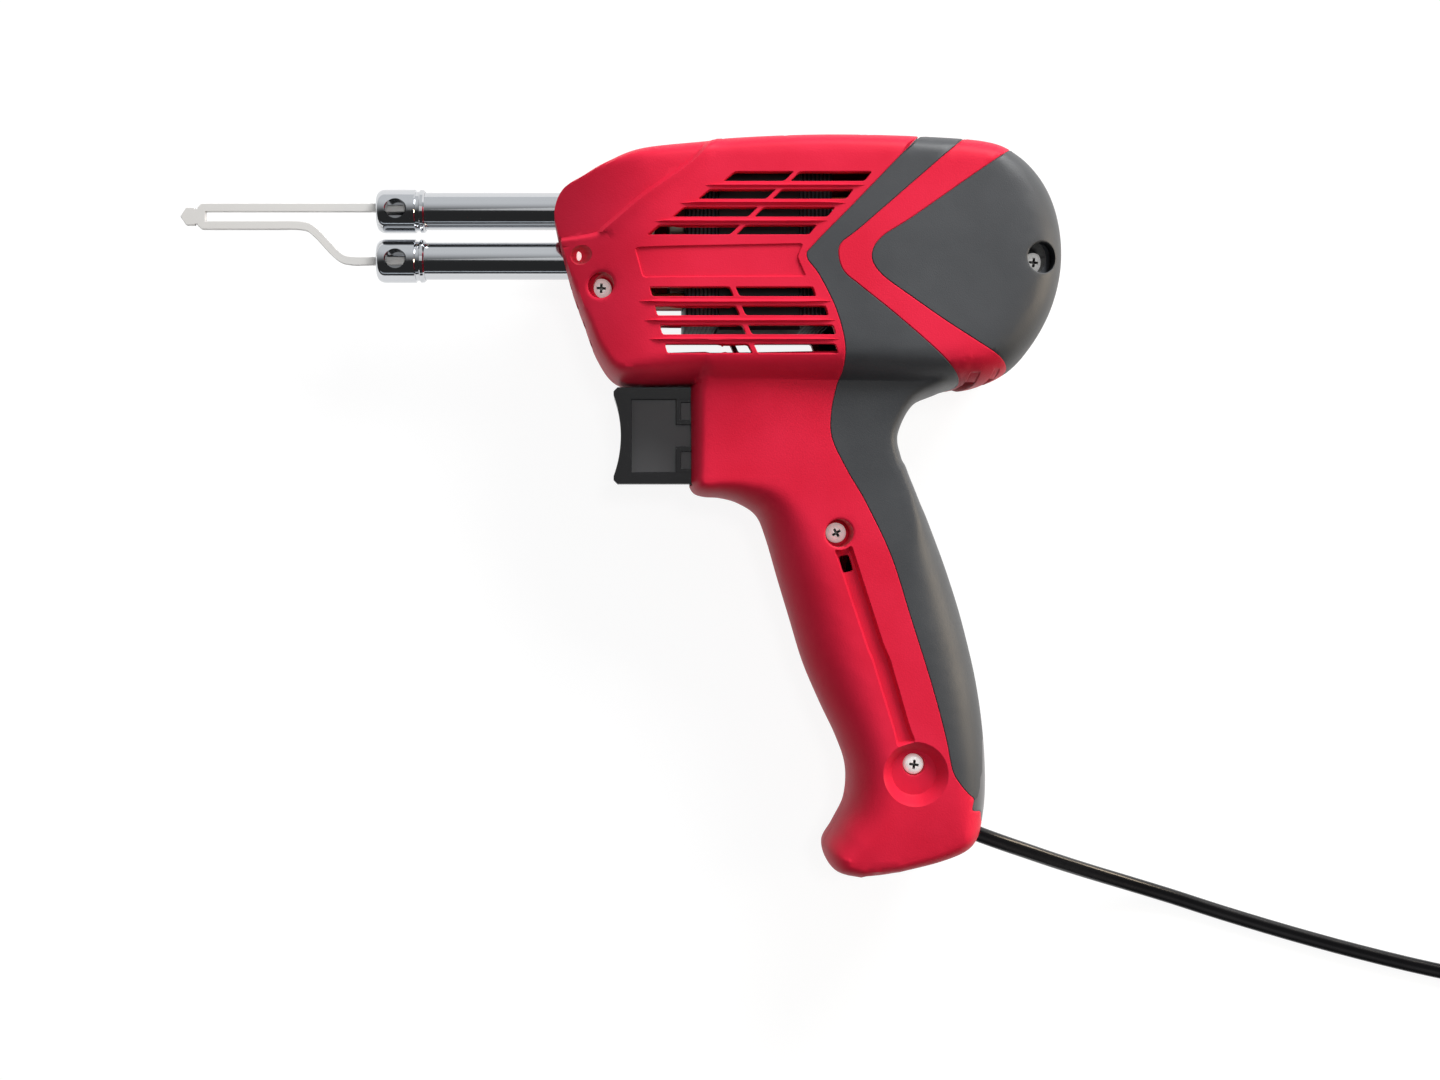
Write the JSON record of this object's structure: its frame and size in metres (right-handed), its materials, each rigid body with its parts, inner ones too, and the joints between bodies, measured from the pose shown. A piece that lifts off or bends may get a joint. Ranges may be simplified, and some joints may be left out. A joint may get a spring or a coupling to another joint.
{
  "type": "instant-heat soldering gun",
  "caption": "Pistol-grip soldering gun with a vented red and black head, plated secondary tubes, a hairpin tip, a slide trigger, lamps in the nose and a flat mains cord.",
  "frame": {"origin": "on the floor under the middle of the gun's outline, with the gun lying on its right side", "axes": "+X from the tip towards the rear of the head, +Y from the foot of the grip up to the head, +Z from the right side to the left side"},
  "size_m": [0.4613, 0.2393, 0.0508],
  "materials": {
    "red_body": "fine moulded texture",
    "soft_black": "soft-touch satin",
    "trigger_black": "gloss",
    "inner_black": "moulded",
    "plated": "bright plating",
    "screw_steel": "zinc plated",
    "tip_satin": "satin plated strip",
    "spring_steel": "wire",
    "core_steel": "stacked silicon steel sheet",
    "bracket_steel": "zinc plated sheet",
    "copper": "copper, enamelled on the winding",
    "terminal_brass": "bright",
    "lamp_clear": "clear lens",
    "white_wire": "insulated wire",
    "red_wire": "insulated wire",
    "spacer_board": "laminated paper board",
    "bobbin_white": "moulded nylon",
    "cord_black": "smooth PVC jacket"
  },
  "bodies": {
    "gun": {"left_housing": "red_body", "right_housing": "red_body", "left_overmould": "soft_black", "right_overmould": "soft_black", "case_screws": "screw_steel", "upper_barrel": "plated", "lower_barrel": "plated", "barrel_spacer": "spacer_board", "soldering_tip": "tip_satin", "left_lamp": "lamp_clear", "right_lamp": "lamp_clear", "lamp_leads": "white_wire", "core_e_stack": "core_steel", "core_i_stack": "core_steel", "core_bracket": "bracket_steel", "coil_bobbin": "bobbin_white", "primary_winding": "copper", "secondary_strap": "copper", "primary_leads": "red_wire", "trigger_spring": "spring_steel", "switch_body": "inner_black", "switch_terminals": "terminal_brass", "wire_connectors": "bobbin_white", "mains_leads": "cord_black", "cord_clamp": "inner_black", "power_cord": "cord_black", "cord_coil": "cord_black", "cord_tail": "cord_black", "cord_tie": "inner_black", "plug_body": "cord_black", "plug_blades": "terminal_brass"},
    "trigger": {"trigger": "trigger_black"},
    "plunger": {"switch_plunger": "bobbin_white"},
    "upper_nut": {"upper_tip_nut": "plated"},
    "lower_nut": {"lower_tip_nut": "plated"}
  },
  "joints": [
    {"name": "trigger_slide", "type": "slide", "parent": "gun", "child": "trigger", "axis": [1, 0, 0], "range_m": [0, 0.006], "stiffness_N_per_m": 400, "springref_m": -0.004, "deforming": ["trigger_spring"]},
    {"name": "plunger_slide", "type": "slide", "parent": "gun", "child": "plunger", "axis": [1, 0, 0], "range_m": [0, 0.006]},
    {"name": "upper_nut_turn", "type": "hinge", "parent": "gun", "child": "upper_nut", "pos_m": [-0.055, 0.0762, 0.0254], "axis": [1, 0, 0], "continuous": true},
    {"name": "lower_nut_turn", "type": "hinge", "parent": "gun", "child": "lower_nut", "pos_m": [-0.055, 0.0635, 0.0254], "axis": [1, 0, 0], "continuous": true}
  ],
  "couplings": [
    {"joint": "plunger_slide", "follows": "trigger_slide", "ratio": 1}
  ]
}
